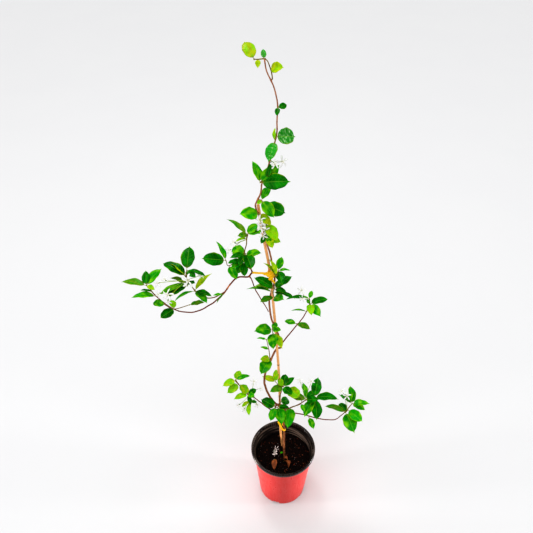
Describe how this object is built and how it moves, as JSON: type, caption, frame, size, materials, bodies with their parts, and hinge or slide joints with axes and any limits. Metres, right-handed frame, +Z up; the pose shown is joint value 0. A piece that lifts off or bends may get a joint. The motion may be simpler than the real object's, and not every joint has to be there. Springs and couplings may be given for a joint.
{
  "type": "potted star jasmine",
  "caption": "Climbing star jasmine tied to a bamboo cane in a tapered round nursery pot, with glossy leaf sprays and small white five-petalled flowers.",
  "frame": {"origin": "middle of the pot's underside, on the surface it stands on", "axes": "+Z up; -Y is the front of the plant, where the long shoots show left (-X) and right (+X)"},
  "size_m": [0.514, 0.1904, 1.1989],
  "materials": {
    "pot": "smooth glossy red outside, near-black inside and on the rolled lip",
    "potting_mix": null,
    "cane": "satin tan bamboo with dark joints",
    "bark": "matte red-brown bark, greener towards the tips",
    "tie": "soft matte yellow garden tie",
    "leaf": null,
    "petal": "soft matte white petals, cream at the throat",
    "dry_leaf": "dry matte brown"
  },
  "bodies": {
    "root": {"cane": "cane", "dry_leaf": "dry_leaf", "fallen_flower": "petal", "flowers_arch": "petal", "flowers_cane": "petal", "flowers_leader": "petal", "flowers_left": "petal", "flowers_long_right": "petal", "flowers_low_left": "petal", "flowers_upper_right": "petal", "leaves_arch_inner": "leaf", "leaves_arch_middle": "leaf", "leaves_arch_outer": "leaf", "leaves_arch_tip": "leaf", "leaves_arch_top": "leaf", "leaves_arch_under": "leaf", "leaves_arch_upper": "leaf", "leaves_cane_node": "leaf", "leaves_cane_top": "leaf", "leaves_cane_upper": "leaf", "leaves_leader_high": "leaf", "leaves_leader_low": "leaf", "leaves_leader_middle": "leaf", "leaves_leader_round": "leaf", "leaves_left_crown": "leaf", "leaves_left_fan": "leaf", "leaves_left_heart": "leaf", "leaves_left_tail": "leaf", "leaves_long_right_hanging": "leaf", "leaves_long_right_low": "leaf", "leaves_long_right_tip": "leaf", "leaves_loop": "leaf", "leaves_low_crown": "leaf", "leaves_low_heart": "leaf", "leaves_low_left_middle": "leaf", "leaves_low_left_tip": "leaf", "leaves_low_right_inner": "leaf", "leaves_low_right_middle": "leaf", "leaves_low_right_tip": "leaf", "leaves_right_pair": "leaf", "leaves_right_small": "leaf", "leaves_tip": "leaf", "leaves_tip_side": "leaf", "leaves_upper_right_fan": "leaf", "leaves_upper_right_pair": "leaf", "leaves_upper_right_tip": "leaf", "pot": "pot", "soil": "potting_mix", "stem_diagonal": "bark", "stem_left_arch": "bark", "stem_left_riser": "bark", "stem_long_right": "bark", "stem_lower_crown": "bark", "stem_lower_left": "bark", "stem_lower_right": "bark", "stem_main": "bark", "stem_middle_left": "bark", "stem_upper_right": "bark", "tie_lower": "tie", "tie_middle": "tie"}
  },
  "joints": []
}
